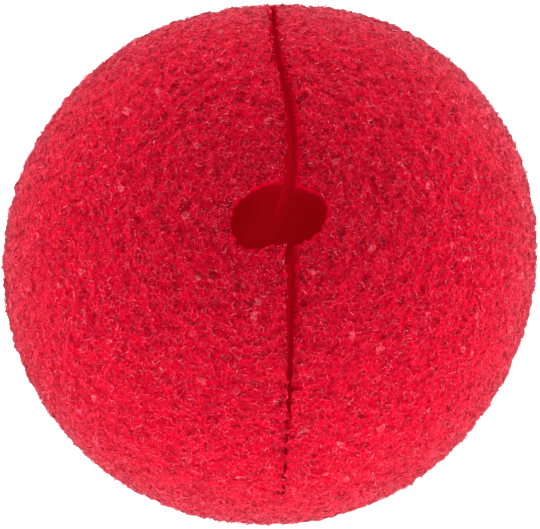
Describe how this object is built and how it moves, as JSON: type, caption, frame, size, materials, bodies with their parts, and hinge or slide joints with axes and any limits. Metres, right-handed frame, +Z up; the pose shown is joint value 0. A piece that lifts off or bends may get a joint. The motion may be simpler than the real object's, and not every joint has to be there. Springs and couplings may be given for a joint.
{
  "type": "clown nose",
  "caption": "Red foam ball nose with a slit across its back that grips the wearer's nose and an oval breathing hole in the slit.",
  "frame": {"origin": "on the table under the middle of the ball, at the centre of its plan and the bottom of its resting patch", "axes": "+Z up and out of the breathing hole, which is the back of the nose; the slit runs along Y; +X across the slit"},
  "size_m": [0.05, 0.0486, 0.0487],
  "materials": {
    "foam": "matte open-cell foam, dyed red through its thickness"
  },
  "bodies": {
    "root": {"foam_ball": "foam"}
  },
  "joints": []
}
